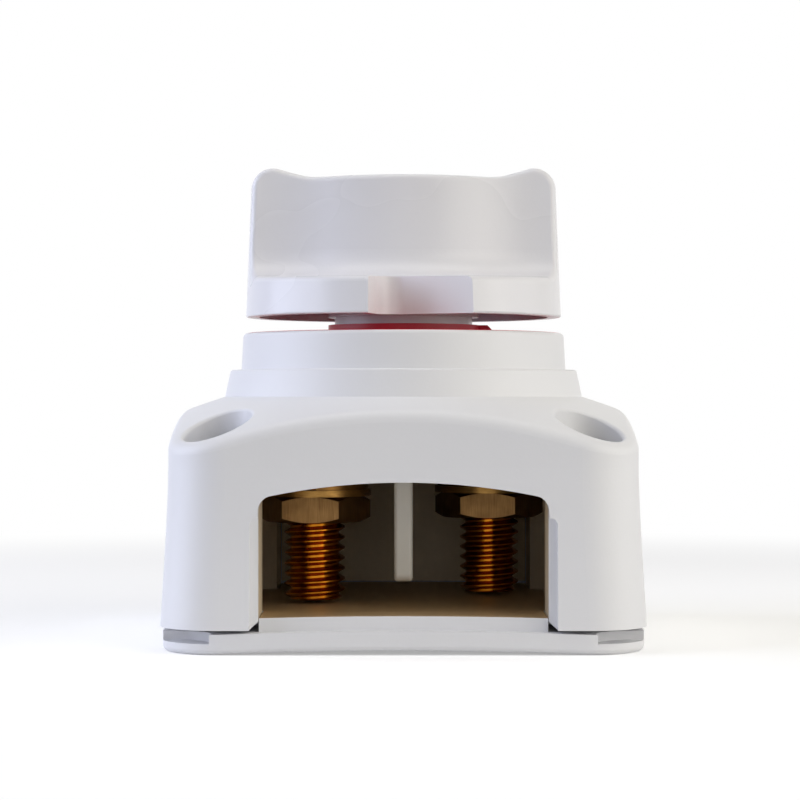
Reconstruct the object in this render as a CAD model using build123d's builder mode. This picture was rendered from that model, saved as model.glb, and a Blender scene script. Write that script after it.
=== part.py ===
"""A quarter-turn battery disconnect switch for a boat or vehicle, in millimetres.

The switch stands on its base plate with the knob up. Z is the knob's axis, and the open cable
entry faces -Y. A square housing with a domed top carries a stepped round collar, and the knob
turns a face cam inside it. The cam pushes a carrier with a copper bridge down on to the heads of
two 3/8 inch studs, whose threaded ends hang in the cable chamber between the housing and the base.
"""

import os
from math import cos, radians, sin, sqrt

from build123d import *

# General fits
wall = 2.3
seat_gap = 0.1
slip_gap = 0.2
running_gap = 0.08

# Base plate, which bows up a little between its two side feet
plate_inset = 0.4
plate_corner_radius = 9.0
flange_thickness = 2.9
plate_bow = 0.6
plate_foot_width = 6.0
plate_edge_fillet = 0.8
platform_rise = 2.0
platform_setback = 2.2
corner_notch_radius = 6.0
corner_notch_inset = 1.6
corner_pad_thickness = 1.6

# Housing
body_width = 69.5
foot_flare = 1.1
flare_height = 23.4
flare_steps = ((0.0, 0.0), (0.33, 0.4), (0.66, 0.77), (1.0, 1.0))
corner_radius = 9.0
shoulder_height = 33.7
dome_radius = 95.0
shoulder_fillet = 2.0
roof_thickness = 2.6

# Mounting screws, one in each corner
screw_inset = 7.5
screw_hole_radius = 2.65
screw_well_radius = 5.0
screw_well_floor = 8.4
post_wall = 1.1
well_lip_fillet = 0.5

# Cable entries in the front and the rear wall
entry_post_ledge = 0.1
entry_height = 21.3
arch_rise = 2.35
arch_corner_radius = 2.3
groove_width = 1.2
groove_depth = 1.2
groove_height = 16.2
groove_corner_radius = 1.1
lead_in_height = 1.1
cover_gap = 0.15

# Collar on the dome
tier_radius = 28.2
tier_top_radius = 27.3
tier_height = 4.2
collar_radius = 25.6
collar_top_radius = 25.3
collar_height = 5.8
collar_fillet = 0.7
tier_fillet = 0.4
collar_roof = 3.0
seal_lip_radius = 11.9
seal_lip_height = 1.3
lug_reach = 2.0
lug_width = 3.0
lug_chamfer = 0.65

# Dial ring, stuck in a shallow recess of the collar's top
dial_clearance = 0.15
dial_outer_radius = 23.8
dial_thickness = 0.2
dial_recess = 0.15

# Knob
knob_gap = 2.5
knob_radius = 24.9
knob_draft = 0.95
knob_height = 23.3
knob_edge_fillet = 0.3
knob_end_fillet = 3.2
horn_width = 3.55
horn_fillet = 2.5
dish_slope_width = 4.9
dish_depth = 1.5
dish_crown = 0.45
dish_fillet = 8.0
flange_height = 5.5
scoop_rise = 0.5
scoop_fillet = 4.5
grip_half = 9.5
grip_bulge_radius = 30.0
grip_bulge_half = 12.0
grip_end_half = 5.1
grip_edge_fillet = 0.9
notch_left = 5.3
notch_right = 10.5
notch_deep_x = 3.5
notch_depth = 9.9
notch_fillet = 2.8
notch_wall = 1.6
skirt_wall = 2.1
skirt_depth = 2.4
hub_radius = 10.87
hub_root_width = 1.0

# Terminal studs, 3/8 inch with 16 threads to the inch, on a line turned from the front
stud_circle_radius = 15.83
stud_line_angle = 29.3
thread_radius = 4.7
stud_end_gap = 0.5
stud_end_chamfer = 0.8
stud_head_radius = 8.0
stud_head_height = 2.6
stud_neck_width = 11.0
stud_neck_height = 1.6
stud_head_chamfer = 0.4

# Nuts and washers on the studs
nut_across_flats = 15.0
nut_height = 4.0
nut_chamfer_height = 0.7
nut_chamfer_angle = 30.0
nut_drop = 6.9
nut_turns = {"left": -3.0, "right": -3.5}
flat_washer_radius = 8.75
flat_washer_height = 1.0
spring_washer_radius = 8.3
spring_washer_height = 2.4
spring_washer_slot = 1.6
spring_washer_slant = 20.0
washer_clearance = 0.3
bolt_clearance = 0.05

# Contact deck, which closes the switch chamber from below
deck_radius = 26.1
deck_thickness = 3.2
chamber_radius = 24.5
chamber_wall = 2.0
upper_chamber_radius = 22.6
upper_chamber_height = 5.3
rib_thickness = 2.75
rib_drop = 15.8
rib_front = 22.0
rib_back = 20.0
rib_edge_fillet = 1.2
rib_tip_fillet = 0.6
spring_post_radius = 3.4
spring_post_height = 2.4
deck_screw_circle_radius = 22.0
deck_screw_angle = 45.0
deck_boss_radius = 2.6
deck_screw_radius = 1.45
deck_screw_length = 8.0
deck_screw_head_radius = 2.6
deck_screw_head_height = 1.6

# Moving contact
contact_travel = 2.5
contact_gap = 0.02
bridge_length = 44.0
bridge_width = 22.0
bridge_thickness = 3.5
bridge_end_radius = 5.0
bridge_chamfer = 0.4
bridge_hole_radius = 6.5
rivet_offset = 8.5
rivet_radius = 1.4
rivet_head_radius = 2.0
rivet_head_height = 0.5

# Contact carrier
carrier_radius = 17.0
carrier_thickness = 1.4
cradle_wall = 1.8
cradle_length = 16.0
cradle_depth = 3.0
ear_width = 5.0
ear_radius = 23.9
ear_thickness = 3.2
guide_thickness = 1.6
guide_depth = 4.0
follower_circle_radius = 13.2
follower_radius = 1.5
follower_fillet = 0.7

# Return spring
spring_mean_radius = 4.8
spring_wire_radius = 0.6
spring_turns = 4.0

# Cam rotor and its square shaft
cam_disc_thickness = 2.2
cam_disc_radius = 16.4
cam_ring_inner = 11.0
cam_ring_outer = 16.0
cam_steps = 9
cam_dwell = 12.0
quarter_turn = 90.0
shaft_width = 9.6
shaft_height = 14.5
shaft_fit = 0.05
shaft_chamfer = 0.8
thrust_washer_height = 0.6
thrust_washer_gap = 0.05
knob_screw_radius = 1.85
knob_screw_length = 23.0
knob_screw_head_radius = 3.8
knob_screw_head_height = 2.1
knob_screw_head_fillet = 0.9
knob_screw_end_chamfer = 0.6

# Shaft seal
seal_wire_radius = 0.72
seal_running_gap = 0.06
seal_drop = 1.6

# Heights above the surface that the switch stands on
housing_bottom = flange_thickness + plate_bow + seat_gap
platform_top = flange_thickness + plate_bow + platform_rise
collar_base = housing_bottom + shoulder_height
tier_top = collar_base + tier_height
collar_top = tier_top + collar_height
chamber_ceiling = collar_top - collar_roof
dome_centre = collar_base - sqrt(dome_radius**2 - tier_radius**2)
knob_bottom = collar_top + knob_gap
knob_top = knob_bottom + knob_height
dish_edge = knob_top - dish_depth
flange_top = knob_bottom + flange_height

# The stack along the studs and up through the switch chamber to the knob's hub
stud_end = platform_top + stud_end_gap
entry_top = housing_bottom + entry_height
nut_bottom = entry_top - nut_drop
flat_washer_bottom = nut_bottom + nut_height
spring_washer_bottom = flat_washer_bottom + flat_washer_height
deck_bottom = spring_washer_bottom + spring_washer_height
deck_top = deck_bottom + deck_thickness
stud_top = deck_top + stud_head_height
bridge_bottom = stud_top + contact_travel + contact_gap
carrier_bottom = bridge_bottom + bridge_thickness
carrier_top = carrier_bottom + carrier_thickness
follower_top = carrier_top + contact_travel
cam_disc_bottom = follower_top + slip_gap
cam_disc_top = cam_disc_bottom + cam_disc_thickness
hub_bottom = cam_disc_top + contact_gap
shaft_top = cam_disc_top + shaft_height
upper_chamber_floor = chamber_ceiling - upper_chamber_height
seal_height = chamber_ceiling + seal_drop

seal_groove_low = seal_height - seal_wire_radius - seat_gap
seal_groove_high = seal_height + seal_wire_radius + seat_gap

# Plan sizes that follow from the ones above
foot_width = body_width + 2 * foot_flare
plate_width = foot_width - 2 * plate_inset
screw_spacing = body_width - 2 * screw_inset
screw_offset = screw_spacing / 2
post_face = screw_offset - screw_well_radius - post_wall
entry_width = 2 * (post_face - entry_post_ledge)
cavity_half = body_width / 2 - wall
groove_face = body_width / 2 - groove_depth
bore_radius = hub_radius + running_gap
seal_seat = bore_radius - 2 * seal_wire_radius - 2 * seal_running_gap
plate_half = plate_width / 2
platform_half = post_face - slip_gap
platform_reach = plate_half - platform_setback
bridge_half_width = bridge_width / 2
knob_side_radius = knob_radius - knob_draft
horn_radius = knob_side_radius - horn_width
dish_radius = horn_radius - dish_slope_width
notch_deep_y = knob_radius - notch_depth
beyond = body_width
stud_ends = {"left": -stud_circle_radius, "right": stud_circle_radius}


def turned_plane(height):
    """A level plane turned so that its X runs along the two studs."""
    return Plane.XY.rotated((0, 0, stud_line_angle)).offset(height)


def stud_plane(side, height, turn=0.0):
    """A level plane centred on one stud, and turned from the front by an angle."""
    angle = radians(stud_line_angle)
    place = (stud_ends[side] * cos(angle), stud_ends[side] * sin(angle), height)
    return Plane(place).rotated((0, 0, turn))


def ring(plane, outer, inner, height):
    """A plain ring standing on a plane."""
    with BuildPart() as body:
        with BuildSketch(plane):
            Circle(outer)
            Circle(inner, mode=Mode.SUBTRACT)
        extrude(amount=height)
    return body


def entry_outline(half_width, top, bottom):
    """The arched outline of a cable entry, seen from the front."""
    side = top - arch_rise
    with BuildSketch(Plane.XZ) as outline:
        with BuildLine():
            Polyline((-half_width, side), (-half_width, bottom), (half_width, bottom), (half_width, side))
            ThreePointArc((half_width, side), (0, top), (-half_width, side))
        make_face()
        fillet(outline.vertices().group_by(Axis.Y)[-1], arch_corner_radius)
    return outline.sketch


def groove_outline(half_width, top, bottom):
    """A plate as wide as the grooves beside an entry, with its upper corners rounded."""
    with BuildSketch(Plane.XZ) as outline:
        with Locations((0, (top + bottom) / 2)):
            Rectangle(2 * half_width, top - bottom)
        fillet(outline.vertices().group_by(Axis.Y)[-1], groove_corner_radius)
    return outline.sketch


def bowed_slab(bottom, top):
    """A slab along Y, straight under the side feet and bowed up between them."""
    foot = plate_half - plate_foot_width
    with BuildSketch(Plane.XZ) as outline:
        with BuildLine():
            Line((-plate_half, bottom), (-foot, bottom))
            ThreePointArc((-foot, bottom), (0, bottom + plate_bow), (foot, bottom))
            Line((foot, bottom), (plate_half, bottom))
            Line((plate_half, bottom), (plate_half, top))
            Line((plate_half, top), (foot, top))
            ThreePointArc((foot, top), (0, top + plate_bow), (-foot, top))
            Line((-foot, top), (-plate_half, top))
            Line((-plate_half, top), (-plate_half, bottom))
        make_face()
    return extrude(outline.sketch, amount=plate_width, both=True)


# Raised platform of the base plate, which plugs the housing from below
platform_slab = bowed_slab(flange_thickness - seat_gap, flange_thickness + platform_rise)
with BuildPart() as platform:
    with BuildSketch():
        Rectangle(2 * platform_half, 2 * platform_reach)
        Rectangle(2 * (cavity_half - slip_gap), 2 * platform_half)
    extrude(amount=platform_top)
    add(platform_slab, mode=Mode.INTERSECT)

# Base plate: a bowed flange under the platform, notched and drilled at its corners
flange_slab = bowed_slab(0, flange_thickness)
with BuildPart() as base_plate:
    with BuildSketch():
        RectangleRounded(plate_width, plate_width, plate_corner_radius)
    extrude(amount=platform_top)
    add(flange_slab, mode=Mode.INTERSECT)
    lower_rim = base_plate.edges().filter_by(
        lambda e: e.bounding_box().max.Z < plate_bow + seat_gap
        and max(abs(e.center().X), abs(e.center().Y)) > plate_half - plate_foot_width + seat_gap)
    fillet(lower_rim, plate_edge_fillet)
    notch_spacing = plate_width - 2 * corner_notch_inset
    with BuildSketch(Plane.XY.offset(corner_pad_thickness)):
        with GridLocations(notch_spacing, notch_spacing, 2, 2):
            Circle(corner_notch_radius)
    extrude(amount=platform_top, mode=Mode.SUBTRACT)
    add(platform.part)
    with BuildSketch():
        with GridLocations(screw_spacing, screw_spacing, 2, 2):
            Circle(screw_hole_radius)
    extrude(amount=platform_top, mode=Mode.SUBTRACT)
base_plate.part.label = "base_plate"

# Outer form of the housing: flared square walls under a shallow spherical dome
with BuildPart() as body_form:
    for rise, share in flare_steps:
        width = foot_width - share * (foot_width - body_width)
        with BuildSketch(Plane.XY.offset(housing_bottom + rise * flare_height)):
            RectangleRounded(width, width, corner_radius)
    loft()
    with BuildSketch(Plane.XY.offset(housing_bottom + flare_height)):
        RectangleRounded(body_width, body_width, corner_radius)
    extrude(amount=shoulder_height)
    with Locations((0, 0, dome_centre)):
        Sphere(dome_radius, mode=Mode.INTERSECT)
    fillet(body_form.faces().sort_by(Axis.Z)[-1].edges(), shoulder_fillet)

# Cable chamber: a cross between the corner posts, under the inside of the dome
with BuildPart() as cable_chamber:
    with BuildSketch(Plane.XY.offset(housing_bottom)):
        Rectangle(2 * cavity_half, 2 * post_face)
        Rectangle(2 * post_face, 2 * cavity_half)
    extrude(amount=shoulder_height)
    with Locations((0, 0, dome_centre)):
        Sphere(dome_radius - roof_thickness, mode=Mode.INTERSECT)
    with BuildSketch(Plane.XY.offset(deck_bottom)):
        Circle(deck_radius + slip_gap + chamber_wall)
    extrude(amount=shoulder_height, mode=Mode.SUBTRACT)

# Housing: the outer form with its collar, hollowed by the two chambers, the wells and entries
with BuildPart() as housing:
    add(body_form.part)
    with BuildSketch(Plane.XY.offset(deck_bottom)):
        Circle(tier_radius)
    extrude(amount=collar_base - deck_bottom)
    with BuildSketch(Plane.XY.offset(collar_base)):
        Circle(tier_radius)
    with BuildSketch(Plane.XY.offset(tier_top)):
        Circle(tier_top_radius)
    loft()
    with BuildSketch(Plane.XY.offset(tier_top)):
        Circle(collar_radius)
    with BuildSketch(Plane.XY.offset(collar_top)):
        Circle(collar_top_radius)
    loft()
    fillet(housing.edges().group_by(Axis.Z)[-1], collar_fillet)
    tier_rim = housing.edges().filter_by(GeomType.CIRCLE).filter_by(
        lambda e: abs(e.center().Z - tier_top) < seat_gap and e.radius > collar_radius + seat_gap)
    fillet(tier_rim, tier_fillet)
    add(cable_chamber.part, mode=Mode.SUBTRACT)

    # Round switch chamber, stepped to seat the deck, with the knob's bore above it
    for radius, low, high in (
        (deck_radius + slip_gap, deck_bottom, deck_top),
        (chamber_radius, deck_top, upper_chamber_floor),
        (upper_chamber_radius, upper_chamber_floor, chamber_ceiling),
        (bore_radius, chamber_ceiling, collar_top),
    ):
        with BuildSketch(Plane.XY.offset(low)):
            Circle(radius)
        extrude(amount=high - low, mode=Mode.SUBTRACT)

    # Screw bosses and carrier guides, which hang from the ledge of the switch chamber
    guide_offset = (ear_width + guide_thickness) / 2 + slip_gap
    with BuildSketch(turned_plane(deck_top)):
        with PolarLocations(deck_screw_circle_radius, 4, start_angle=deck_screw_angle):
            Circle(deck_boss_radius)
        with GridLocations(2 * guide_offset, 2 * chamber_radius - guide_depth, 2, 2):
            Rectangle(guide_thickness, guide_depth)
    extrude(amount=upper_chamber_floor - deck_top)
    with BuildSketch(turned_plane(deck_top)):
        with PolarLocations(deck_screw_circle_radius, 4, start_angle=deck_screw_angle):
            Circle(deck_screw_radius + bolt_clearance)
    extrude(amount=deck_screw_length, mode=Mode.SUBTRACT)

    # Recess for the dial ring
    with BuildSketch(Plane.XY.offset(collar_top)):
        Circle(dial_outer_radius + dial_clearance)
        Circle(seal_lip_radius, mode=Mode.SUBTRACT)
        with Locations((seal_lip_radius + lug_reach / 2 - seat_gap, 0)):
            Rectangle(lug_reach + 2 * seat_gap, lug_width, mode=Mode.SUBTRACT)
    extrude(amount=-dial_recess, mode=Mode.SUBTRACT)

    # Lip round the knob's bore, with one index lug beside it
    with BuildSketch(Plane.XY.offset(collar_top)):
        Circle(seal_lip_radius)
        with Locations((seal_lip_radius + lug_reach / 2 - seat_gap, 0)):
            Rectangle(lug_reach + 2 * seat_gap, lug_width)
        Circle(bore_radius, mode=Mode.SUBTRACT)
    extrude(amount=seal_lip_height)
    lug_edge = housing.edges().filter_by(Axis.Y).group_by(Axis.Z)[-1].sort_by(Axis.X)[-1]
    chamfer(lug_edge, lug_chamfer)

    # Screw wells in the corner posts, with a through hole below each
    with BuildSketch(Plane.XY.offset(housing_bottom)):
        with GridLocations(screw_spacing, screw_spacing, 2, 2):
            Circle(screw_hole_radius)
    extrude(amount=screw_well_floor, mode=Mode.SUBTRACT)
    with BuildSketch(Plane.XY.offset(housing_bottom + screw_well_floor)):
        with GridLocations(screw_spacing, screw_spacing, 2, 2):
            Circle(screw_well_radius)
    extrude(amount=shoulder_height, mode=Mode.SUBTRACT)
    well_rims = housing.edges().filter_by(
        lambda e: e.is_closed and e.center().Z > deck_top
        and min(abs(e.center().X), abs(e.center().Y)) > post_face)
    fillet(well_rims, well_lip_fillet)

    # Cable entries, with a groove and a lead-in at each side for the sliding covers
    entry = entry_outline(entry_width / 2, entry_top, 0)
    groove = groove_outline(entry_width / 2 + groove_width, housing_bottom + groove_height, 0)
    with BuildSketch(Plane.XZ):
        with BuildLine():
            Polyline(
                (-entry_width / 2 - groove_width, housing_bottom),
                (entry_width / 2 + groove_width, housing_bottom),
                (entry_width / 2, housing_bottom + lead_in_height),
                (-entry_width / 2, housing_bottom + lead_in_height),
                close=True,
            )
        make_face()
    extrude(amount=beyond, both=True, mode=Mode.SUBTRACT)
    extrude(entry, amount=beyond, both=True, mode=Mode.SUBTRACT)
    for start in (-groove_face, groove_face + beyond):
        extrude(groove.moved(Location((0, start, 0))), amount=beyond, mode=Mode.SUBTRACT)
housing.part.label = "housing"

# Rear cable cover: fills the arch and both grooves, flush with the wall outside
cover_tongue = entry_outline(entry_width / 2 - cover_gap, entry_top - cover_gap, housing_bottom)
cover_wings = groove_outline(
    entry_width / 2 + groove_width - cover_gap, housing_bottom + groove_height - cover_gap, housing_bottom)
with BuildPart() as rear_entry_cover:
    extrude(cover_tongue.moved(Location((0, cavity_half + beyond, 0))), amount=beyond)
    extrude(cover_wings.moved(Location((0, groove_face + cover_gap + beyond, 0))), amount=beyond)
    add(body_form.part, mode=Mode.INTERSECT)
    with BuildSketch(Plane.XY.offset(housing_bottom)):
        with Locations((0, cavity_half)):
            Rectangle(entry_width, 2 * (platform_reach + slip_gap - cavity_half))
    extrude(amount=platform_top + slip_gap - housing_bottom, mode=Mode.SUBTRACT)
rear_entry_cover.part.label = "rear_entry_cover"

# Red dial ring, stuck in its recess round the lip and its lug
with BuildPart() as dial_ring:
    with BuildSketch(Plane.XY.offset(collar_top - dial_recess)):
        Circle(dial_outer_radius)
        Circle(seal_lip_radius + dial_clearance, mode=Mode.SUBTRACT)
        with Locations((seal_lip_radius + lug_reach / 2, 0)):
            Rectangle(lug_reach + 2 * dial_clearance, lug_width + 2 * dial_clearance, mode=Mode.SUBTRACT)
    extrude(amount=dial_thickness)
dial_ring.part.label = "dial_ring"


def grip_outline():
    """The grip seen from above: bulged in the middle and thinner towards both ends."""
    reach = knob_radius + slip_gap
    bulge_centre = grip_bulge_radius - grip_half
    bulge_end = sqrt(grip_bulge_radius**2 - grip_bulge_half**2) - bulge_centre
    run = bulge_centre + bulge_end
    with BuildSketch() as outline:
        with BuildLine():
            for side in (-1, 1):
                tip = (side * reach, -grip_end_half)
                Line((side * reach, 0), tip)
                TangentArc((side * grip_bulge_half, -bulge_end), tip, tangent=(side * run, grip_bulge_half))
            ThreePointArc((-grip_bulge_half, -bulge_end), (0, -grip_half), (grip_bulge_half, -bulge_end))
            Line((reach, 0), (-reach, 0))
        make_face()
        mirror(about=Plane.XZ)
    return outline.sketch


def notch_outline(growth):
    """The index notch in the knob's flange, seen from above, widened by a wall."""
    deep = Vector(-notch_deep_x, -notch_deep_y)
    left = Vector(-notch_left, -sqrt(knob_radius**2 - notch_left**2))
    right = Vector(notch_right, -sqrt(knob_radius**2 - notch_right**2))
    with BuildSketch() as outline:
        with BuildLine():
            Polyline(deep, deep + (left - deep) * 2, deep + (right - deep) * 2, close=True)
        make_face()
        fillet(outline.vertices().sort_by(Axis.Y)[-1], notch_fillet)
        if growth:
            offset(amount=growth)
    return outline.sketch


# Scoops: the space in front of and behind the grip, over floors that fall a little to the rim
grip = grip_outline()
with BuildPart() as scoops:
    with BuildSketch(Plane.XY.offset(knob_bottom)):
        Rectangle(2 * (knob_radius + slip_gap), 2 * (knob_radius + slip_gap))
        add(grip, mode=Mode.SUBTRACT)
    extrude(amount=2 * knob_height)
    floor_slope = scoop_rise / (knob_radius - grip_half)
    with BuildSketch(Plane.YZ):
        with BuildLine():
            Polyline(
                (0, flange_top + floor_slope * knob_radius),
                (2 * knob_radius, flange_top - floor_slope * knob_radius),
                (2 * knob_radius, knob_bottom - knob_height),
                (-2 * knob_radius, knob_bottom - knob_height),
                (-2 * knob_radius, flange_top - floor_slope * knob_radius),
                close=True,
            )
        make_face()
    extrude(amount=2 * knob_radius, both=True, mode=Mode.SUBTRACT)
    scoop_roots = scoops.edges().filter_by(
        lambda e: abs(e.center().Y) < grip_half + slip_gap and abs(e.center().X) < knob_radius
        and e.center().Z < knob_top and abs(e.tangent_at(0.5).Z) < 0.9)
    fillet(scoop_roots, scoop_fillet)

# Knob: a round body with a dished top, cut by the scoops so that the grip stands between them
notch = notch_outline(0)
notch_lining = notch_outline(notch_wall)
with BuildPart() as knob:
    with BuildSketch(Plane.XZ):
        with BuildLine():
            Polyline(
                (0, hub_bottom), (hub_radius, hub_bottom), (hub_radius, seal_groove_low),
                (seal_seat, seal_groove_low), (seal_seat, seal_groove_high),
                (hub_radius, seal_groove_high), (hub_radius, knob_bottom),
            )
            FilletPolyline(
                (hub_radius, knob_bottom), (knob_radius, knob_bottom), (knob_side_radius, knob_top),
                (horn_radius, knob_top), (dish_radius, dish_edge), (0, dish_edge + dish_crown),
                radius=[knob_edge_fillet, knob_end_fillet, horn_fillet, dish_fillet],
            )
            Line((0, dish_edge + dish_crown), (0, hub_bottom))
        make_face()
    revolve(axis=Axis.Z)
    add(scoops.part, mode=Mode.SUBTRACT)
    grip_edges = knob.edges().filter_by(
        lambda e: e.center().Z > dish_edge - knob_end_fillet
        and abs(e.center().Y) > grip_end_half / 2 and abs(e.tangent_at(0.5).Y) < 0.9)
    fillet(grip_edges, grip_edge_fillet)
    with BuildSketch(Plane.XY.offset(knob_bottom)):
        add(notch)
    extrude(amount=knob_height, mode=Mode.SUBTRACT)

    # Recess under the flange, between the rim and the hub, with a wall round the notch
    with BuildSketch(Plane.XY.offset(knob_bottom)):
        Circle(knob_radius - skirt_wall)
        Circle(hub_radius + hub_root_width, mode=Mode.SUBTRACT)
        add(notch_lining, mode=Mode.SUBTRACT)
    extrude(amount=skirt_depth, mode=Mode.SUBTRACT)

    # Square socket for the shaft, and the pilot for the screw above it
    with BuildSketch(Plane.XY.offset(hub_bottom)):
        Rectangle(shaft_width + 2 * shaft_fit, shaft_width + 2 * shaft_fit)
    extrude(amount=shaft_top + slip_gap - hub_bottom, mode=Mode.SUBTRACT)
    with BuildSketch(Plane.XY.offset(shaft_top)):
        Circle(knob_screw_radius + bolt_clearance)
    extrude(amount=cam_disc_bottom + knob_screw_length + slip_gap - shaft_top, mode=Mode.SUBTRACT)
knob.part.label = "knob"

# Shaft seal: a rubber ring in the hub's groove
with BuildPart() as shaft_seal:
    with BuildSketch(Plane.XZ):
        with Locations((seal_seat + seal_running_gap + seal_wire_radius, seal_height)):
            Circle(seal_wire_radius)
    revolve(axis=Axis.Z)
shaft_seal.part.label = "shaft_seal"

# One helical ramp of the face cam, from no depth to the full travel, with a short level end
ramp_bounds = ring(Plane.XY.offset(carrier_top), cam_ring_outer, cam_ring_inner, knob_height)
with BuildPart() as cam_ramp:
    ramp_middle = (cam_ring_inner + cam_ring_outer) / 2
    for step in range(cam_steps + 2):
        depth = contact_travel * min(step, cam_steps) / cam_steps + seat_gap
        turn = min(step, cam_steps) * quarter_turn / cam_steps
        if step > cam_steps:
            turn = quarter_turn + cam_dwell
        angle = radians(turn)
        radial = Plane((0, 0, cam_disc_bottom), x_dir=(cos(angle), sin(angle), 0),
                       z_dir=(sin(angle), -cos(angle), 0))
        with BuildSketch(radial):
            with Locations((ramp_middle, seat_gap - depth / 2)):
                Rectangle(2 * (cam_ring_outer - cam_ring_inner), depth)
    loft(ruled=True)
    add(ramp_bounds.part, mode=Mode.INTERSECT)

# Cam rotor: a disc with two ramps below and the square shaft above, drilled for the knob's screw
with BuildPart() as cam_rotor:
    with BuildSketch(Plane.XY.offset(cam_disc_bottom)):
        Circle(cam_disc_radius)
    extrude(amount=cam_disc_thickness)
    for side in (quarter_turn, -quarter_turn):
        add(cam_ramp.part, rotation=(0, 0, stud_line_angle + side))
    with BuildSketch(Plane.XY.offset(cam_disc_top)) as shaft_section:
        Rectangle(shaft_width, shaft_width)
        chamfer(shaft_section.vertices(), shaft_chamfer)
    extrude(amount=shaft_height)
    with BuildSketch(Plane.XY.offset(cam_disc_bottom)):
        Circle(knob_screw_radius + bolt_clearance)
    extrude(amount=cam_disc_thickness + shaft_height, mode=Mode.SUBTRACT)
cam_rotor.part.label = "cam_rotor"

# Screw that holds the rotor in the knob, with its head below the cam disc
with BuildPart() as knob_screw:
    with BuildSketch(Plane.XY.offset(cam_disc_bottom)):
        Circle(knob_screw_radius)
    extrude(amount=knob_screw_length)
    with BuildSketch(Plane.XY.offset(cam_disc_bottom)):
        Circle(knob_screw_head_radius)
    extrude(amount=-knob_screw_head_height)
    fillet(knob_screw.edges().group_by(Axis.Z)[0], knob_screw_head_fillet)
    chamfer(knob_screw.edges().group_by(Axis.Z)[-1], knob_screw_end_chamfer)
knob_screw.part.label = "knob_screw"

# Thrust washer between the cam disc and the chamber's ceiling
thrust_washer = ring(Plane.XY.offset(cam_disc_top + thrust_washer_gap), cam_disc_radius,
                     bore_radius + washer_clearance, thrust_washer_height)
thrust_washer.part.label = "thrust_washer"

# Contact carrier: a disc with two followers, a cradle for the bridge and two ears in the guides
with BuildPart() as contact_carrier:
    with BuildSketch(turned_plane(carrier_bottom)):
        Circle(carrier_radius)
        Rectangle(ear_width, 2 * ear_radius - ear_width)
        with GridLocations(0, 2 * ear_radius - ear_width, 1, 2):
            Circle(ear_width / 2)
    extrude(amount=carrier_thickness)
    ear_middle = (carrier_radius + ear_radius) / 2
    with BuildSketch(turned_plane(carrier_top - ear_thickness)):
        with GridLocations(0, 2 * ear_middle, 1, 2):
            Rectangle(ear_width, ear_radius - carrier_radius)
    extrude(amount=ear_thickness)
    cradle_middle = bridge_half_width + seat_gap + cradle_wall / 2
    with BuildSketch(turned_plane(carrier_bottom - cradle_depth)):
        with GridLocations(0, 2 * cradle_middle, 1, 2):
            Rectangle(cradle_length, cradle_wall)
    extrude(amount=cradle_depth)
    with BuildSketch(turned_plane(carrier_top)):
        with GridLocations(0, 2 * follower_circle_radius, 1, 2):
            Circle(follower_radius)
    extrude(amount=contact_travel)
    fillet(contact_carrier.edges().group_by(Axis.Z)[-1], follower_fillet)
    with BuildSketch(turned_plane(carrier_bottom)):
        with GridLocations(0, 2 * rivet_offset, 1, 2):
            Circle(rivet_radius + bolt_clearance)
    extrude(amount=carrier_thickness, mode=Mode.SUBTRACT)
contact_carrier.part.label = "contact_carrier"

# Copper bridge, which joins the two stud heads when it is pressed down
with BuildPart() as contact_bridge:
    with BuildSketch(turned_plane(bridge_bottom)):
        RectangleRounded(bridge_length, bridge_width, bridge_end_radius)
        Circle(bridge_hole_radius, mode=Mode.SUBTRACT)
        with GridLocations(0, 2 * rivet_offset, 1, 2):
            Circle(rivet_radius + bolt_clearance, mode=Mode.SUBTRACT)
    extrude(amount=bridge_thickness)
    chamfer(contact_bridge.faces().sort_by(Axis.Z)[0].outer_wire().edges(), bridge_chamfer)
contact_bridge.part.label = "contact_bridge"

# Rivets that hold the bridge in the carrier's cradle
with BuildPart() as bridge_rivets:
    for radius, low, high in (
        (rivet_head_radius, bridge_bottom - rivet_head_height, bridge_bottom),
        (rivet_radius, bridge_bottom, carrier_top),
        (rivet_head_radius, carrier_top, carrier_top + rivet_head_height),
    ):
        with BuildSketch(turned_plane(low)):
            with GridLocations(0, 2 * rivet_offset, 1, 2):
                Circle(radius)
        extrude(amount=high - low)
bridge_rivets.part.label = "bridge_rivets"

# Return spring between the deck and the carrier, standing inside the bridge's hole
spring_start = deck_top + spring_wire_radius + bolt_clearance
spring_rise = carrier_bottom - spring_wire_radius - bolt_clearance - spring_start
with BuildPart() as return_spring:
    with BuildLine() as coil:
        Helix(spring_rise / spring_turns, spring_rise, spring_mean_radius, center=(0, 0, spring_start))
    with BuildSketch(Plane(coil.line @ 0, z_dir=coil.line % 0)):
        Circle(spring_wire_radius)
    sweep(is_frenet=True)
return_spring.part.label = "return_spring"

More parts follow.
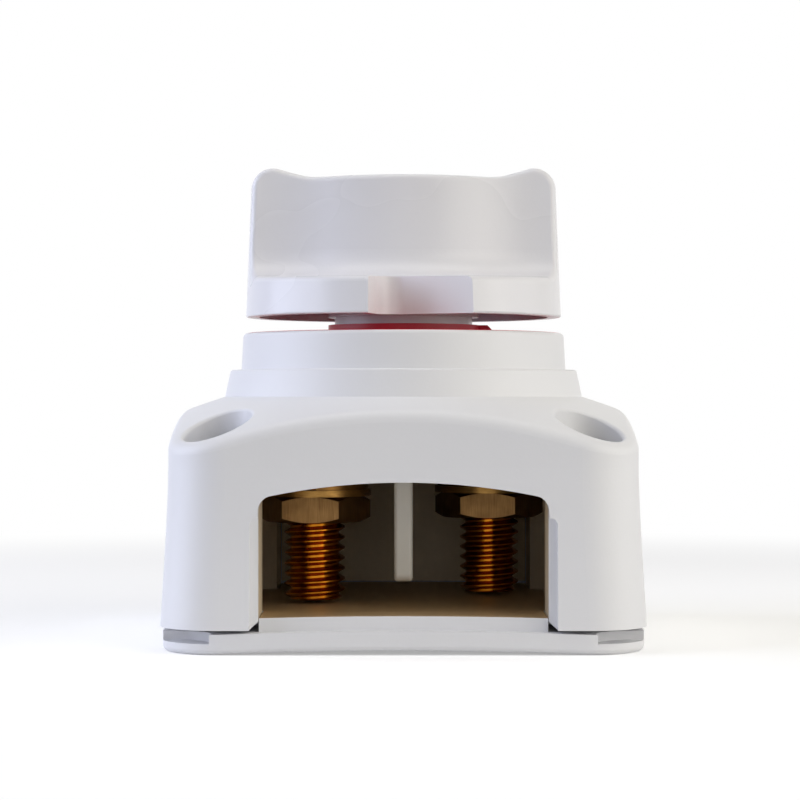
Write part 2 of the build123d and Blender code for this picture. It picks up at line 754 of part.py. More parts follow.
# Contact deck: carries the studs, closes the switch chamber and hangs a rib between the studs
with BuildPart() as contact_deck:
    with BuildSketch(Plane.XY.offset(deck_bottom)):
        Circle(deck_radius)
    extrude(amount=deck_thickness)
    with BuildSketch(Plane.YZ) as rib_side:
        with Locations(((rib_back - rib_front) / 2, deck_bottom - rib_drop / 2)):
            Rectangle(rib_front + rib_back, rib_drop)
        fillet(rib_side.vertices().group_by(Axis.Y)[0], rib_edge_fillet)
    extrude(amount=rib_thickness / 2, both=True)
    fillet(contact_deck.edges().filter_by(Axis.Y).group_by(Axis.Z)[0], rib_tip_fillet)
    with BuildSketch(Plane.XY.offset(deck_top)):
        Circle(spring_post_radius)
    extrude(amount=spring_post_height)
    with BuildSketch(turned_plane(deck_bottom)):
        with GridLocations(2 * stud_circle_radius, 0, 2, 1):
            Circle(thread_radius + bolt_clearance)
        with PolarLocations(deck_screw_circle_radius, 4, start_angle=deck_screw_angle):
            Circle(deck_screw_radius + bolt_clearance)
    extrude(amount=deck_thickness, mode=Mode.SUBTRACT)
    with BuildSketch(turned_plane(deck_top)):
        with GridLocations(2 * stud_circle_radius, 0, 2, 1):
            Rectangle(stud_neck_width + 2 * seat_gap, stud_neck_width + 2 * seat_gap)
    extrude(amount=-stud_neck_height - contact_gap, mode=Mode.SUBTRACT)
    with BuildSketch(turned_plane(deck_bottom)):
        with PolarLocations(deck_screw_circle_radius, 4, start_angle=deck_screw_angle):
            Circle(deck_screw_head_radius + bolt_clearance)
    extrude(amount=deck_screw_head_height, mode=Mode.SUBTRACT)
contact_deck.part.label = "contact_deck"

# Deck screws, driven up into the bosses of the housing
with BuildPart() as deck_screws:
    with BuildSketch(turned_plane(deck_bottom)):
        with PolarLocations(deck_screw_circle_radius, 4, start_angle=deck_screw_angle):
            Circle(deck_screw_head_radius)
    extrude(amount=deck_screw_head_height)
    with BuildSketch(turned_plane(deck_bottom + deck_screw_head_height)):
        with PolarLocations(deck_screw_circle_radius, 4, start_angle=deck_screw_angle):
            Circle(deck_screw_radius)
    extrude(amount=deck_thickness - deck_screw_head_height + deck_screw_length - slip_gap)
deck_screws.part.label = "deck_screws"


def terminal_stud(side):
    """A brass stud: contact head and square neck in the deck, threaded shank below."""
    with BuildPart() as stud:
        with BuildSketch(stud_plane(side, stud_end)):
            Circle(thread_radius)
        extrude(amount=deck_top - stud_end)
        chamfer(stud.edges().group_by(Axis.Z)[0], stud_end_chamfer)
        with BuildSketch(stud_plane(side, deck_top, stud_line_angle)):
            Rectangle(stud_neck_width, stud_neck_width)
        extrude(amount=-stud_neck_height)
        with BuildSketch(stud_plane(side, deck_top)):
            Circle(stud_head_radius)
        extrude(amount=stud_head_height)
        chamfer(stud.edges().group_by(Axis.Z)[-1], stud_head_chamfer)
    return stud


def thin_nut(side):
    """A thin hex nut with both faces chamfered, one flat turned near to the front."""
    corner = nut_across_flats / 2 / cos(radians(30))
    drop = nut_chamfer_height
    inset = drop / sin(radians(nut_chamfer_angle)) * cos(radians(nut_chamfer_angle))
    with BuildPart() as nut:
        with BuildSketch(stud_plane(side, nut_bottom, nut_turns[side])):
            RegularPolygon(nut_across_flats / 2, 6, major_radius=False)
        extrude(amount=nut_height)
        middle = stud_plane(side, nut_bottom)
        with BuildSketch(Plane(middle.origin, x_dir=(1, 0, 0), z_dir=(0, -1, 0))):
            with BuildLine():
                Polyline(
                    (0, 0), (corner - inset, 0), (corner, drop), (corner, nut_height - drop),
                    (corner - inset, nut_height), (0, nut_height), close=True,
                )
            make_face()
        revolve(axis=Axis(middle.origin, (0, 0, 1)), mode=Mode.INTERSECT)
        with BuildSketch(middle):
            Circle(thread_radius + bolt_clearance)
        extrude(amount=nut_height, mode=Mode.SUBTRACT)
    return nut


def spring_washer(side):
    """A split lock washer, with its slot cut at a slant."""
    washer = ring(stud_plane(side, spring_washer_bottom), spring_washer_radius,
                  thread_radius + washer_clearance, spring_washer_height)
    slot_middle = Vector(0, -spring_washer_radius, spring_washer_bottom + spring_washer_height / 2)
    with BuildPart() as split:
        add(washer.part)
        origin = stud_plane(side, 0).origin + slot_middle
        with Locations(Location(origin, (0, spring_washer_slant, 0))):
            Box(spring_washer_slot, 2 * (spring_washer_radius - thread_radius), 2 * spring_washer_height,
                mode=Mode.SUBTRACT)
    return split


os.makedirs("parts", exist_ok=True)
pieces = [
    base_plate, housing, rear_entry_cover, dial_ring, knob, shaft_seal, cam_rotor, knob_screw,
    thrust_washer, contact_carrier, contact_bridge, bridge_rivets, return_spring, contact_deck,
    deck_screws,
]
for side in ("left", "right"):
    flat_washer = ring(stud_plane(side, flat_washer_bottom), flat_washer_radius,
                       thread_radius + washer_clearance, flat_washer_height)
    named = {
        "stud": terminal_stud(side), "nut": thin_nut(side), "flat_washer": flat_washer,
        "spring_washer": spring_washer(side),
    }
    for name, piece in named.items():
        piece.part.label = f"{name}_{side}"
        pieces.append(piece)
for piece in pieces:
    export_step(piece.part, f"parts/{piece.part.label}.step")
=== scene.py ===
from math import pi, radians

import bmesh
import bpy
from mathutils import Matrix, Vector


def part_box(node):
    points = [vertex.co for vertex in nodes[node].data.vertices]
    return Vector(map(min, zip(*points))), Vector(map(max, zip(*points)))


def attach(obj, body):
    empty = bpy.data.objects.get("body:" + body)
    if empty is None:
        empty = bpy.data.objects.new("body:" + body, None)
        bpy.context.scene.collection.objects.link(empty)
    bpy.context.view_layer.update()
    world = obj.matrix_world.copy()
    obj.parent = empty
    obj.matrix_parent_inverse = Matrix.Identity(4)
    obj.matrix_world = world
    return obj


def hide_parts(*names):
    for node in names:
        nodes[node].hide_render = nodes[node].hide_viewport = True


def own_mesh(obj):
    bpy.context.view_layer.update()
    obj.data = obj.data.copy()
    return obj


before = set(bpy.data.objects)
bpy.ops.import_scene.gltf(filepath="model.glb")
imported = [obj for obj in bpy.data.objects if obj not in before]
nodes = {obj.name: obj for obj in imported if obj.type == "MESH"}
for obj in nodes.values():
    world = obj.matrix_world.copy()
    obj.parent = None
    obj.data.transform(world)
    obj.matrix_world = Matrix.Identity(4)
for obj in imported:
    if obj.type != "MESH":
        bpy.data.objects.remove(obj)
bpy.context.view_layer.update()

# Camera: a long lens 385 mm in front of the switch, level with the foot of its collar, square to
# the open cable entry. The shift keeps the object where the photograph's frame has it.
camera_distance = 0.385
camera_height = 0.0371
frame_width = 800
shift_right = -3.5
shift_up = -2.0

bpy.ops.object.select_all(action="DESELECT")
bpy.ops.object.camera_add(location=(0, -camera_distance, camera_height), rotation=(pi / 2, 0, 0))
camera = bpy.context.object
camera.data.sensor_width = 36
camera.data.lens = 109.3
camera.data.shift_x = shift_right / frame_width
camera.data.shift_y = shift_up / frame_width
camera.data.clip_start = 0.01
bpy.context.scene.camera = camera
bpy.context.scene.view_settings.view_transform = "Standard"


# Studio: white paper under the switch that fades to plain white. A cool softbox stands at the left,
# a warmer one at the right and nearer the camera, with weak ones behind it, in front and overhead,
# so that the front is a step darker than the sides.
air_light = 0.05
paper_lift = 0.36
paper_fade = (0.16, 0.30)
paper_radius = 1.4
softboxes = {
    "left_softbox": ((-0.60, -0.07, 0.22), 0.60, 4.1, "#E4EAFF"),
    "right_softbox": ((0.45, -0.34, 0.20), 0.60, 2.2, "#FFFBF1"),
    "right_rear_softbox": ((0.60, -0.05, 0.22), 0.50, 0.85, "#FFFFFF"),
    "front_softbox": ((0.0, -0.95, 0.20), 0.30, 0.20, "#FFFFFF"),
    "overhead_softbox": ((0.0, -0.05, 0.75), 0.60, 1.7, "#FFFBF0"),
}
aimed_at = Vector((0, 0, 0.04))


def linear(colour):
    """The linear values that a shader takes for an sRGB colour such as "#F0F0F0"."""
    shares = [int(colour[i:i + 2], 16) / 255 for i in (1, 3, 5)]
    return [s / 12.92 if s <= 0.04045 else ((s + 0.055) / 1.055) ** 2.4 for s in shares] + [1.0]


def add_node(tree, kind, inputs=None, **settings):
    """Adds a node with its settings. Each input is a value, or the socket that feeds it."""
    made = tree.nodes.new(kind)
    for name, value in settings.items():
        setattr(made, name, value)
    for name, value in (inputs or {}).items():
        if isinstance(value, bpy.types.NodeSocket):
            tree.links.new(value, made.inputs[name])
        else:
            made.inputs[name].default_value = value
    return made


def new_material(name):
    """An empty material and its node tree."""
    made = bpy.data.materials.new(name)
    made.use_nodes = True
    made.node_tree.nodes.clear()
    return made, made.node_tree


def deselect():
    """Goes back to object mode with nothing selected."""
    if bpy.context.object and bpy.context.object.mode != "OBJECT":
        bpy.ops.object.mode_set(mode="OBJECT")
    bpy.ops.object.select_all(action="DESELECT")


def seen_directly(tree):
    """1 for rays from the camera or off gloss or through glass, and 0 for the light on the object."""
    ray = add_node(tree, "ShaderNodeLightPath")
    seen = ray.outputs["Is Camera Ray"]
    for kind in ("Is Glossy Ray", "Is Transmission Ray"):
        either = add_node(tree, "ShaderNodeMath", {0: seen, 1: ray.outputs[kind]}, operation="MAXIMUM")
        seen = either.outputs[0]
    return seen


world = bpy.data.worlds.new("studio_air")
bpy.context.scene.world = world
world.use_nodes = True
tree = world.node_tree
tree.nodes.clear()
level = add_node(tree, "ShaderNodeMapRange", {
    "Value": seen_directly(tree), "To Min": air_light, "To Max": 1.0,
})
air = add_node(tree, "ShaderNodeBackground", {"Color": linear("#FFFFFF"), "Strength": level.outputs[0]})
add_node(tree, "ShaderNodeOutputWorld", {"Surface": air.outputs[0]})

for name, (spot, width, power, colour) in softboxes.items():
    deselect()
    aim = aimed_at - Vector(spot)
    bpy.ops.object.light_add(type="AREA", location=spot, rotation=aim.to_track_quat("-Z", "Y").to_euler())
    lamp = bpy.context.object
    lamp.name = name
    lamp.data.size = width
    lamp.data.energy = power
    lamp.data.color = linear(colour)[:3]

deselect()
bpy.ops.mesh.primitive_circle_add(vertices=96, radius=paper_radius, fill_type="NGON", location=(0, 0, 0))
floor = bpy.context.object
floor.name = "paper_floor"

# White backdrop paper: matt, and bright enough to the eye to look white, also seen in metal.
floor_paper, tree = new_material("white_backdrop_paper")
place = add_node(tree, "ShaderNodeTexCoord").outputs["Object"]
away = add_node(tree, "ShaderNodeVectorMath", {0: place}, operation="LENGTH")
far = add_node(tree, "ShaderNodeMapRange", {
    "Value": away.outputs["Value"], "From Min": paper_fade[0], "From Max": paper_fade[1],
}, interpolation_type="SMOOTHSTEP")
seen = seen_directly(tree)
paper = add_node(tree, "ShaderNodeBsdfDiffuse", {"Color": linear("#EDEDED")})
lift = add_node(tree, "ShaderNodeMath", {0: seen, 1: paper_lift}, operation="MULTIPLY")
glow = add_node(tree, "ShaderNodeEmission", {"Strength": lift.outputs[0]})
near_paper = add_node(tree, "ShaderNodeAddShader", {0: paper.outputs[0], 1: glow.outputs[0]})
plain = add_node(tree, "ShaderNodeMapRange", {"Value": seen, "To Min": air_light, "To Max": 1.0})
white = add_node(tree, "ShaderNodeEmission", {"Strength": plain.outputs[0]})
whole = add_node(tree, "ShaderNodeMixShader", {
    0: far.outputs[0], 1: near_paper.outputs[0], 2: white.outputs[0],
})
side = add_node(tree, "ShaderNodeNewGeometry")
clear = add_node(tree, "ShaderNodeBsdfTransparent")
one_sided = add_node(tree, "ShaderNodeMixShader", {
    0: side.outputs["Backfacing"], 1: whole.outputs[0], 2: clear.outputs[0],
})
add_node(tree, "ShaderNodeOutputMaterial", {"Surface": one_sided.outputs[0]})
floor.data.materials.append(floor_paper)


# Base plate: white ASA, injection moulded, which bows up a little between its feet. The housing
# and the plate are screwed to a panel together. Inside, the top of its raised platform
# carries a painted warm shade in tan.
grain_pitch = 0.00045
grain_height = 0.00008
flow_pitch = 0.030
sheen_swing = 0.02
platform_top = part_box("base_plate")[1][2]
platform_bow = 0.0010
small_margin = 0.00005


def clouded(colour, shade):
    """A function that makes slow clouds between two colours, for a film or a painted shade on a moulded
    part.
    """
    def mix(tree, place):
        clouds = add_node(tree, "ShaderNodeTexNoise", {
            "Vector": place, "Scale": 1 / flow_pitch, "Detail": 3.0,
        })
        return add_node(tree, "ShaderNodeMix", {
            "Factor": clouds.outputs["Fac"], "A": linear(colour), "B": linear(shade),
        }, data_type="RGBA").outputs["Result"]
    return mix


def moulded_plastic(name, colour, shade, roughness, films_and_painted_shade=()):
    """A satin moulded plastic: slow flow clouds between two colours under a fine eroded grain.

    Each overlay, a film or a painted shade, is a pair: a function for where it covers the plastic, and one
    for its colour."""
    made, tree = new_material(name)
    place = add_node(tree, "ShaderNodeTexCoord").outputs["Object"]
    clouds = add_node(tree, "ShaderNodeTexNoise", {"Vector": place, "Scale": 1 / flow_pitch, "Detail": 2.0})
    skin = add_node(tree, "ShaderNodeMix", {
        "Factor": clouds.outputs["Fac"], "A": linear(colour), "B": linear(shade),
    }, data_type="RGBA").outputs["Result"]
    for covers, film_or_painted_shade in films_and_painted_shade:
        skin = add_node(tree, "ShaderNodeMix", {
            "Factor": covers(tree, place), "A": skin, "B": film_or_painted_shade(tree, place),
        }, data_type="RGBA").outputs["Result"]
    gloss = add_node(tree, "ShaderNodeMapRange", {
        "Value": clouds.outputs["Fac"], "To Min": roughness - sheen_swing, "To Max": roughness + sheen_swing,
    })
    grain = add_node(tree, "ShaderNodeTexNoise", {"Vector": place, "Scale": 1 / grain_pitch, "Detail": 3.0})
    bump = add_node(tree, "ShaderNodeBump", {
        "Height": grain.outputs["Fac"], "Strength": 0.12, "Distance": grain_height,
    })
    shell = add_node(tree, "ShaderNodeBsdfPrincipled", {
        "Base Color": skin, "Roughness": gloss.outputs[0], "IOR": 1.49, "Normal": bump.outputs[0],
    })
    add_node(tree, "ShaderNodeOutputMaterial", {"Surface": shell.outputs[0]})
    return made


def on_platform(tree, place):
    """1 on the bowed top of the base plate's platform, and 0 elsewhere on it."""
    parts = add_node(tree, "ShaderNodeSeparateXYZ", {0: place})
    high = add_node(tree, "ShaderNodeMath", {0: parts.outputs["Z"], 1: platform_top - platform_bow},
                    operation="GREATER_THAN").outputs[0]
    normal = add_node(tree, "ShaderNodeNewGeometry").outputs["Normal"]
    up = add_node(tree, "ShaderNodeMath", {
        0: add_node(tree, "ShaderNodeSeparateXYZ", {0: normal}).outputs["Z"], 1: 0.9,
    }, operation="GREATER_THAN").outputs[0]
    return add_node(tree, "ShaderNodeMath", {0: high, 1: up}, operation="MULTIPLY").outputs[0]


def paint(material, *names):
    """Gives a material to nodes of the fixed frame."""
    for name in names:
        for held in nodes[name].material_slots:
            held.material = material


# White ASA off the mould: an even satin sheen with no sparkle.
# Painted shade: the tan on the platform's top inside the chamber stands in for the warm shade there.
painted_shade_tan = clouded("#C4A67C", "#B5966C")
plate_plastic = moulded_plastic("white_asa_plate", "#E9E9EB", "#E2E2E5", 0.42, [(on_platform, painted_shade_tan)])
paint(plate_plastic, "base_plate")


# Housing and rear cable cover: white ASA, moulded with a drafted square body, a low dome and a
# stepped collar. The cover slides up into grooves in the rear wall. The faces of the cross-shaped
# chamber between the four screw posts carry a pale warm painted shade, and the wall's cut edges stay white.
chamber_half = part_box("rear_entry_cover")[0][1] + small_margin
post_depth = 0.0113
post_face = chamber_half - post_depth + small_margin
chamber_top = 0.026
lip_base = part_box("dial_ring")[0][2] + 0.0001


def in_cable_chamber(tree, place):
    """1 on the faces of the cross-shaped cable chamber, and 0 on the rest of the housing."""
    parts = add_node(tree, "ShaderNodeSeparateXYZ", {0: place})

    def within(value, limit):
        return add_node(tree, "ShaderNodeMath", {0: value, 1: limit}, operation="LESS_THAN").outputs[0]

    def both(one, other):
        return add_node(tree, "ShaderNodeMath", {0: one, 1: other}, operation="MULTIPLY").outputs[0]

    side, depth = (
        add_node(tree, "ShaderNodeMath", {0: parts.outputs[axis]}, operation="ABSOLUTE").outputs[0]
        for axis in ("X", "Y")
    )
    across = both(within(side, chamber_half), within(depth, post_face))
    along = both(within(side, post_face), within(depth, chamber_half))
    cross = add_node(tree, "ShaderNodeMath", {0: across, 1: along}, operation="MAXIMUM").outputs[0]
    return both(cross, within(parts.outputs["Z"], chamber_top))


def on_seal_lip(tree, place):
    """1 on the lip that the shaft seal sits in and on its lug, and 0 on the rest of the housing."""
    parts = add_node(tree, "ShaderNodeSeparateXYZ", {0: place})
    high = add_node(tree, "ShaderNodeMath", {0: parts.outputs["Z"], 1: lip_base}, operation="GREATER_THAN")
    return high.outputs[0]


# White ASA off the mould, as on the plate, with a pale warm painted shade on the chamber's walls; on
# the lip it lies under the red film of the dial, which is carried up over it.
# Painted shade: this pale warm colour on the chamber's faces stands in for the warm shade inside it.
painted_shade_cream = clouded("#F0E0C4", "#E6D4B4")
vinyl_red, vinyl_shade = "#D81438", "#C80F2E"
red_vinyl = clouded(vinyl_red, vinyl_shade)
paint(moulded_plastic("white_asa_housing", "#E9E9EB", "#E2E2E5", 0.42,
                      [(in_cable_chamber, painted_shade_cream), (on_seal_lip, red_vinyl)]),
      "housing", "rear_entry_cover")


# Contact deck: natural nylon, moulded in one with the rib that keeps the two cables apart. It
# closes the switch chamber from below. Nylon looks a little waxy and yellower than the ASA.
paint(moulded_plastic("natural_nylon_deck", "#D2CFC7", "#C9C5BB", 0.46), "contact_deck")


# Terminal studs: brass, turned and thread-rolled to 3/8 inch with 16 threads to the inch, with a
# square neck pressed into the deck and a round contact head above it. The thread runs out in a
# chamfer at the open end.
thread_pitch = 0.0254 / 16
thread_radius = 0.0047
thread_depth = 0.00092
crest_flat = thread_pitch / 8
root_flat = thread_pitch / 5
thread_segments = 72
end_chamfer = 0.0009
neck_width = 0.011
neck_height = 0.0016
head_height = 0.0026
head_chamfer = 0.0004
stud_line_angle = radians(29.3)
tarnish_pitch = 0.0030
mark_height = 0.00004
mark_share = 0.45
stain_low, stain_high = 0.3, 0.7
metal_sheen_swing = 0.08
weld_distance = 0.000002
tooth_height = -2 * thread_pitch


def worked_metal(name, colour, tarnish, roughness, mark):
    """A bare metal with tarnish clouds and tool marks, whose sizes along X, Y and Z are given."""
    made, tree = new_material(name)
    place = add_node(tree, "ShaderNodeTexCoord").outputs["Object"]
    clouds = add_node(tree, "ShaderNodeTexNoise", {
        "Vector": place, "Scale": 1 / tarnish_pitch, "Detail": 4.0,
    })
    run = add_node(tree, "ShaderNodeMapping", {"Vector": place, "Scale": [1 / size for size in mark]})
    marks = add_node(tree, "ShaderNodeTexNoise", {"Vector": run.outputs[0], "Scale": 1.0, "Detail": 2.0})
    stain = add_node(tree, "ShaderNodeMix", {
        "Factor": mark_share, "A": clouds.outputs["Fac"], "B": marks.outputs["Fac"],
    })
    spread = add_node(tree, "ShaderNodeMapRange", {
        "Value": stain.outputs["Result"], "From Min": stain_low, "From Max": stain_high,
    })
    skin = add_node(tree, "ShaderNodeMix", {
        "Factor": spread.outputs[0], "A": linear(colour), "B": linear(tarnish),
    }, data_type="RGBA")
    gloss = add_node(tree, "ShaderNodeMapRange", {
        "Value": marks.outputs["Fac"], "To Min": roughness - metal_sheen_swing,
        "To Max": roughness + metal_sheen_swing,
    })
    bump = add_node(tree, "ShaderNodeBump", {
        "Height": marks.outputs["Fac"], "Strength": 0.15, "Distance": mark_height,
    })
    shell = add_node(tree, "ShaderNodeBsdfPrincipled", {
        "Base Color": skin.outputs["Result"], "Metallic": 1.0, "Roughness": gloss.outputs[0],
        "Normal": bump.outputs[0],
    })
    add_node(tree, "ShaderNodeOutputMaterial", {"Surface": shell.outputs[0]})
    return made


def choose(piece, kind, wanted):
    """Selects the vertices, edges or faces of a piece in edit mode whose middle the test wants."""
    bpy.ops.mesh.select_mode(type=kind)
    bpy.ops.mesh.select_all(action="DESELECT")
    mesh = bmesh.from_edit_mesh(piece.data)
    for part in {"VERT": mesh.verts, "EDGE": mesh.edges, "FACE": mesh.faces}[kind]:
        corners = [part] if kind == "VERT" else list(part.verts)
        if wanted(sum((corner.co for corner in corners), Vector()) / len(corners)):
            part.select_set(True)
    bmesh.update_edit_mesh(piece.data)


def apply_boolean(piece, other, operation):
    """Joins, cuts or crosses a piece with another one, which is used up."""
    deselect()
    bpy.context.view_layer.objects.active = piece
    cut = piece.modifiers.new("shape", "BOOLEAN")
    cut.operation = operation
    cut.solver = "EXACT"
    cut.object = other
    bpy.ops.object.modifier_apply(modifier=cut.name)
    bpy.data.objects.remove(other)


def seat(piece, name, spot):
    """Names a piece, puts it in its place and leaves the place in its mesh."""
    deselect()
    piece.name = name
    piece.data.name = name
    piece.location = spot
    piece.select_set(True)
    bpy.context.view_layer.objects.active = piece
    bpy.ops.object.transform_apply(location=True, rotation=True, scale=True)


stud_low, stud_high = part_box("stud_left")
stud_length = stud_high[2] - stud_low[2]
head_radius = (stud_high[0] - stud_low[0]) / 2
shank_length = stud_length - head_height
thread_root = thread_radius - thread_depth
flank_height = thread_pitch - root_flat

# One tooth of the thread: a plane whose outer edge is drawn in to the crest, opened at the root
deselect()
bpy.ops.mesh.primitive_plane_add(size=1, location=((thread_root + thread_radius) / 2, 0, tooth_height),
                                 rotation=(pi / 2, 0, 0))
stud = bpy.context.object
stud.scale = (thread_depth, flank_height, 1)
bpy.ops.object.transform_apply(location=True, rotation=True, scale=True)
bpy.ops.object.mode_set(mode="EDIT")
bpy.ops.mesh.delete(type="ONLY_FACE")
choose(stud, "EDGE", lambda middle: middle.x < thread_root + thread_depth / 4)
bpy.ops.mesh.delete(type="EDGE")
choose(stud, "EDGE", lambda middle: middle.x > thread_radius - thread_depth / 4)
bpy.ops.transform.resize(value=(1, 1, crest_flat / flank_height), center_override=(0, 0, tooth_height))
choose(stud, "VERT",
       lambda middle: middle.x < thread_root + thread_depth / 4 and middle.z > tooth_height)
bpy.ops.mesh.extrude_region_move(TRANSFORM_OT_translate={"value": (0, 0, root_flat)})
bpy.ops.object.mode_set(mode="OBJECT")

# The thread: that tooth screwed up the whole shank, then cut level at both ends
turns = stud.modifiers.new("turns", "SCREW")
turns.screw_offset = thread_pitch
turns.iterations = int(shank_length / thread_pitch) + 5
turns.steps = thread_segments
turns.render_steps = thread_segments
turns.use_merge_vertices = True
turns.merge_threshold = weld_distance
bpy.ops.object.modifier_apply(modifier=turns.name)
bpy.ops.object.mode_set(mode="EDIT")
bpy.ops.mesh.select_all(action="SELECT")
bpy.ops.mesh.remove_doubles(threshold=weld_distance)
bpy.ops.mesh.bisect(plane_co=(0, 0, 0), plane_no=(0, 0, -1), use_fill=True, clear_outer=True)
bpy.ops.mesh.select_all(action="SELECT")
bpy.ops.mesh.bisect(plane_co=(0, 0, shank_length - neck_height / 2), plane_no=(0, 0, 1), use_fill=True,
                    clear_outer=True)
bpy.ops.mesh.select_all(action="SELECT")
bpy.ops.mesh.normals_make_consistent(inside=False)
bpy.ops.object.mode_set(mode="OBJECT")

# The open end's chamfer, then the square neck and the round head above it
deselect()
bpy.ops.mesh.primitive_cylinder_add(vertices=thread_segments, radius=thread_radius + small_margin,
                                    depth=2 * stud_length, location=(0, 0, stud_length))
blank = bpy.context.object
bpy.ops.object.mode_set(mode="EDIT")
choose(blank, "EDGE", lambda middle: middle.z < small_margin - stud_length)
bpy.ops.mesh.bevel(offset=end_chamfer, offset_type="OFFSET", segments=1, affect="EDGES")
bpy.ops.object.mode_set(mode="OBJECT")
apply_boolean(stud, blank, "INTERSECT")

deselect()
bpy.ops.mesh.primitive_cube_add(size=1, location=(0, 0, shank_length - neck_height / 2 + head_chamfer / 2),
                                rotation=(0, 0, stud_line_angle),
                                scale=(neck_width, neck_width, neck_height + head_chamfer))
neck = bpy.context.object
bpy.ops.object.mode_set(mode="EDIT")
choose(neck, "EDGE", lambda middle: abs(middle.z) < small_margin)
bpy.ops.mesh.bevel(offset=head_chamfer, offset_type="OFFSET", segments=2, affect="EDGES")
bpy.ops.object.mode_set(mode="OBJECT")
apply_boolean(stud, neck, "UNION")

deselect()
bpy.ops.mesh.primitive_cylinder_add(vertices=64, radius=head_radius, depth=head_height,
                                    location=(0, 0, shank_length + head_height / 2))
head = bpy.context.object
bpy.ops.object.mode_set(mode="EDIT")
choose(head, "FACE", lambda middle: middle.z > head_height / 2 - small_margin)
bpy.ops.mesh.bevel(offset=head_chamfer, offset_type="OFFSET", segments=2, affect="EDGES")
bpy.ops.object.mode_set(mode="OBJECT")
apply_boolean(stud, head, "UNION")

deselect()
stud.select_set(True)
bpy.context.view_layer.objects.active = stud
bpy.ops.object.shade_smooth_by_angle(angle=radians(28))

# Lacquered brass: bright amber crests over dark roots, with round marks left by the rolling.
stud_brass = worked_metal("rolled_amber_brass", "#CF8724", "#96560F", 0.24, (0.004, 0.004, 0.00012))
stud.data.materials.clear()
stud.data.materials.append(stud_brass)
for side in ("left", "right"):
    turned = stud.copy()
    turned.data = stud.data.copy()
    bpy.context.collection.objects.link(turned)
    low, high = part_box("stud_" + side)
    seat(turned, "threaded_stud_" + side, ((low[0] + high[0]) / 2, (low[1] + high[1]) / 2, low[2]))
    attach(turned, "switch_body")
    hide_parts("stud_" + side)
bpy.data.objects.remove(stud)


# Nuts: thin hexagon nuts machined from brass bar, both faces chamfered, run up on the studs. The
# cutter leaves upright marks on the flats, and handling has dulled them to olive brown.
nut_brass = worked_metal("machined_brass_nut", "#8F6D44", "#664A2B", 0.42, (0.00012, 0.00012, 0.0030))
paint(nut_brass, "nut_left", "nut_right")


# Flat and spring washers: stamped brass flats and split bronze spring washers, clamped between
# nut and deck. Their edges are bright from the press and their faces dull.
paint(worked_metal("stamped_brass_washer", "#B48A4C", "#8A6636", 0.36, (0.0012, 0.0012, 0.00025)),
      "flat_washer_left", "flat_washer_right")
paint(worked_metal("coiled_bronze_washer", "#A5793F", "#7A5630", 0.40, (0.0020, 0.0020, 0.00030)),
      "spring_washer_left", "spring_washer_right")


# Deck screws: thread-forming steel screws, bright zinc plated, driven up into the housing. Zinc
# has a cool grey shine with faint blue clouds.
zinc_steel = worked_metal("bright_zinc_steel", "#C9CDD2", "#A9ADB8", 0.30, (0.0006, 0.0006, 0.0006))
paint(zinc_steel, "deck_screws")


# Return spring: hard-drawn steel wire wound to four turns and oiled, standing on the deck inside
# the bridge's hole. The oil leaves it dark and slick. It shortens as the contact comes down. It is
# wound again here from the node's box.
spring_low, spring_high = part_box("return_spring")
spring_turns = 4
wire_radius = 0.0006
wire_sides = 20
turn_segments = 72
coil_radius = (spring_high[0] - spring_low[0]) / 2 - wire_radius
spring_height = spring_high[2] - spring_low[2]
spring_rise = spring_height - 2 * wire_radius

deselect()
bpy.ops.mesh.primitive_circle_add(vertices=wire_sides, radius=wire_radius, fill_type="NOTHING",
                                  location=(coil_radius, 0, spring_low[2] + wire_radius),
                                  rotation=(pi / 2, 0, 0))
spring = bpy.context.object
spring.name = "wound_return_spring"
bpy.ops.object.transform_apply(location=True, rotation=True, scale=True)
winding = spring.modifiers.new("winding", "SCREW")
winding.screw_offset = spring_rise / spring_turns
winding.iterations = spring_turns
winding.steps = turn_segments
winding.render_steps = turn_segments
bpy.ops.object.modifier_apply(modifier=winding.name)
bpy.ops.object.mode_set(mode="EDIT")
bpy.ops.mesh.select_all(action="SELECT")
bpy.ops.mesh.remove_doubles(threshold=weld_distance)
bpy.ops.mesh.fill_holes(sides=0)
bpy.ops.mesh.select_all(action="SELECT")
bpy.ops.mesh.normals_make_consistent(inside=False)
bpy.ops.object.mode_set(mode="OBJECT")
bpy.ops.object.shade_smooth_by_angle(angle=radians(40))
spring.data.materials.append(
    worked_metal("oiled_spring_wire", "#8B8D90", "#5F6166", 0.28, (0.0008, 0.0008, 0.00020)))
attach(spring, "switch_body")
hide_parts("return_spring")
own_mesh(spring)


# Contact bridge and its rivets: a milled copper bar held in the carrier by two brass rivets. The
# copper is salmon pink where it was cut and browner where it has been touched.
paint(worked_metal("milled_copper_bar", "#D98C66", "#A9603F", 0.34, (0.0030, 0.00020, 0.0030)),
      "contact_bridge")
paint(worked_metal("headed_brass_rivet", "#D9B160", "#B58A42", 0.28, (0.0005, 0.0005, 0.0005)),
      "bridge_rivets")


# Contact carrier, cam rotor and thrust washer: natural glass-filled nylon, moulded, cream and
# duller than the white outside. The carrier slides in the housing under the turning rotor.
filled_nylon = moulded_plastic("cream_filled_nylon", "#DAD5C6", "#CFC9B8", 0.52)
paint(filled_nylon, "contact_carrier", "cam_rotor", "thrust_washer")


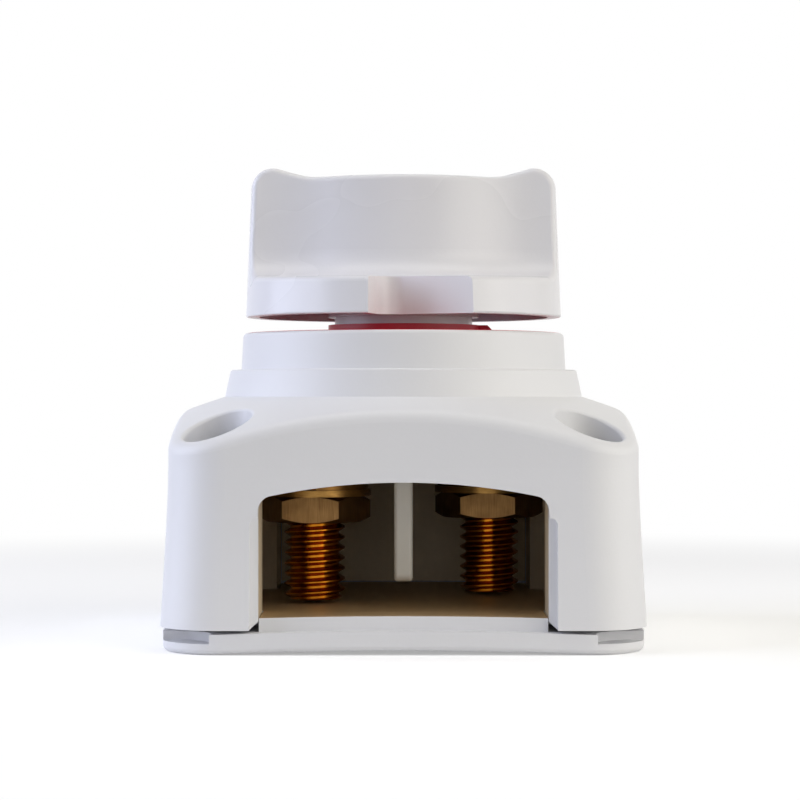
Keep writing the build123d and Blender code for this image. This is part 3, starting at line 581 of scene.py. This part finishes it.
# Shaft seal: a ring of black nitrile rubber in the groove of the knob's hub, wiped with grease.
# It is near black with a soft sheen and a fine mould bloom.
bloom_pitch = 0.0008
seal_rubber, tree = new_material("black_nitrile_rubber")
place = add_node(tree, "ShaderNodeTexCoord").outputs["Object"]
bloom = add_node(tree, "ShaderNodeTexNoise", {"Vector": place, "Scale": 1 / bloom_pitch, "Detail": 3.0})
skin = add_node(tree, "ShaderNodeMix", {
    "Factor": bloom.outputs["Fac"], "A": linear("#1B1B1C"), "B": linear("#2C2C2E"),
}, data_type="RGBA")
wipe = add_node(tree, "ShaderNodeMapRange", {"Value": bloom.outputs["Fac"], "To Min": 0.42, "To Max": 0.66})
shell = add_node(tree, "ShaderNodeBsdfPrincipled", {
    "Base Color": skin.outputs["Result"], "Roughness": wipe.outputs[0], "IOR": 1.52,
})
add_node(tree, "ShaderNodeOutputMaterial", {"Surface": shell.outputs[0]})
paint(seal_rubber, "shaft_seal")


# Dial ring: a ring of red vinyl film with an adhesive back, die cut and stuck in the collar's
# recess. The film is a deep rose red with a low sheen and a faint leather-like emboss.
emboss_pitch = 0.0006
emboss_height = 0.00003
dial_film, tree = new_material("red_vinyl_film")
place = add_node(tree, "ShaderNodeTexCoord").outputs["Object"]
cells = add_node(tree, "ShaderNodeTexNoise", {"Vector": place, "Scale": 1 / emboss_pitch, "Detail": 2.0})
skin = add_node(tree, "ShaderNodeMix", {
    "Factor": cells.outputs["Fac"], "A": linear(vinyl_red), "B": linear(vinyl_shade),
}, data_type="RGBA")
bump = add_node(tree, "ShaderNodeBump", {
    "Height": cells.outputs["Fac"], "Strength": 0.2, "Distance": emboss_height,
})
shell = add_node(tree, "ShaderNodeBsdfPrincipled", {
    "Base Color": skin.outputs["Result"], "Roughness": 0.38, "IOR": 1.53, "Normal": bump.outputs[0],
})
add_node(tree, "ShaderNodeOutputMaterial", {"Surface": shell.outputs[0]})
paint(dial_film, "dial_ring")


# Dial words: OFF and ON in white screen ink on the red film, each read through the knob's notch
# at its end of the quarter turn. The ink lies about two hundredths of a millimetre thick.
ink_thickness = 0.00002
letter_size = 0.0036
word_spots = {"dial_word_off": ("OFF", 0.0), "dial_word_on": ("ON", -pi / 2)}
word_offset = 0.0010
word_radius = 0.0207
film_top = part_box("dial_ring")[1][2]
dial_ink, tree = new_material("white_screen_ink")
place = add_node(tree, "ShaderNodeTexCoord").outputs["Object"]
cover = add_node(tree, "ShaderNodeTexNoise", {"Vector": place, "Scale": 1 / emboss_pitch, "Detail": 3.0})
skin = add_node(tree, "ShaderNodeMix", {
    "Factor": cover.outputs["Fac"], "A": linear("#EFEDEC"), "B": linear("#E2D8D8"),
}, data_type="RGBA")
shell = add_node(tree, "ShaderNodeBsdfPrincipled", {
    "Base Color": skin.outputs["Result"], "Roughness": 0.5, "IOR": 1.5,
})
add_node(tree, "ShaderNodeOutputMaterial", {"Surface": shell.outputs[0]})
for name, (letters, turn) in word_spots.items():
    deselect()
    bpy.ops.object.text_add(location=(word_offset, -word_radius, film_top + ink_thickness))
    word = bpy.context.object
    word.data.body = letters
    word.data.size = letter_size
    word.data.extrude = ink_thickness
    word.data.align_x = "CENTER"
    word.data.align_y = "CENTER"
    bpy.ops.object.convert(target="MESH")
    word = bpy.context.object
    word.name = name
    word.data.name = name
    bpy.ops.object.transform_apply(location=True, rotation=True, scale=True)
    word.rotation_euler = (0, 0, turn)
    bpy.ops.object.transform_apply(location=True, rotation=True, scale=True)
    bpy.ops.object.mode_set(mode="EDIT")
    bpy.ops.mesh.select_all(action="SELECT")
    bpy.ops.mesh.remove_doubles(threshold=0.000001)
    bpy.ops.mesh.normals_make_consistent(inside=False)
    bpy.ops.object.mode_set(mode="OBJECT")
    word.data.materials.clear()
    word.data.materials.append(dial_ink)
    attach(word, "switch_body")


# Knob: white ASA from a polished tool, a round flange and a waisted grip between two finger
# scoops, held down by one screw through the rotor. Its skin is a touch smoother than the housing.
paint(moulded_plastic("white_asa_knob", "#E9E8EB", "#E3E2E6", 0.27), "knob")


# Knob screw: bright zinc plated steel, driven up through the rotor into the knob's hub.
paint(zinc_steel, "knob_screw")
